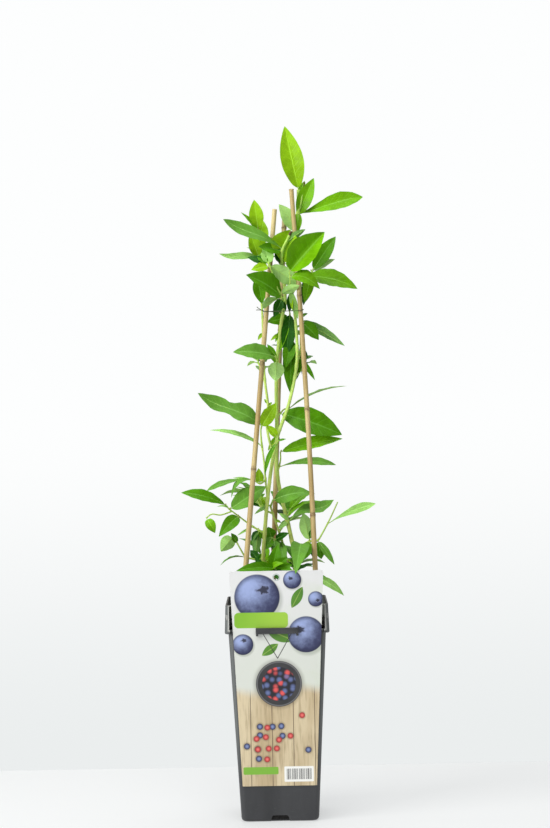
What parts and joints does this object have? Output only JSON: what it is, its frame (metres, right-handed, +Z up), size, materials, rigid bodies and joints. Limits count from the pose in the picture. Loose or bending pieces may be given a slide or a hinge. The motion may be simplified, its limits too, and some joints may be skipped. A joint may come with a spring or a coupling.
{
  "type": "potted blueberry bush",
  "caption": "Young blueberry bush with lance-shaped green leaves on slender stems, grown up tied bamboo canes in a tall square nursery pot with a printed card.",
  "frame": {"origin": "middle of the pot's flat underside", "axes": "+Z up along the pot, +Y away from the card, +X to the right of someone who faces the card"},
  "size_m": [0.2121, 0.1293, 0.7554],
  "materials": {
    "pot": "satin dark grey moulded plastic",
    "mix": "loose dark brown peat",
    "card": "smooth printed card",
    "cane": "bare bamboo",
    "wire": "thin coated wire",
    "stem": "green bark",
    "leaf": "satin green leaf"
  },
  "bodies": {
    "root": {"pot": "pot", "potting_mix": "mix", "label_card": "card", "cane_left": "cane", "cane_right": "cane", "cane_back": "cane", "tie_wire": "wire", "stem_tall": "stem", "stem_crossing": "stem", "stem_low": "stem", "bough_left": "stem", "bough_thin": "stem", "foliage_tip": "leaf", "foliage_upper_left": "leaf", "foliage_upper_front": "leaf", "foliage_right_head": "leaf", "foliage_front_head": "leaf", "foliage_left_head": "leaf", "foliage_left_side": "leaf", "foliage_neck_front": "leaf", "foliage_neck_back": "leaf", "foliage_neck_right": "leaf", "foliage_mid_left": "leaf", "foliage_mid_center": "leaf", "foliage_mid_right": "leaf", "foliage_mid_low": "leaf", "foliage_low_left": "leaf", "foliage_low_left_upper": "leaf", "foliage_foot_left": "leaf", "foliage_low_mid": "leaf", "foliage_low_right_upper": "leaf", "foliage_low_right": "leaf", "foliage_foot_front": "leaf", "foliage_low_center": "leaf", "foliage_right_foot": "leaf", "foliage_back_top": "leaf", "foliage_back_upper_left": "leaf", "foliage_back_neck": "leaf", "foliage_back_mid_right": "leaf", "foliage_back_mid_left": "leaf", "foliage_back_low_right": "leaf", "foliage_back_low_left": "leaf", "foliage_back_foot_right": "leaf", "foliage_back_foot_left": "leaf"}
  },
  "joints": []
}
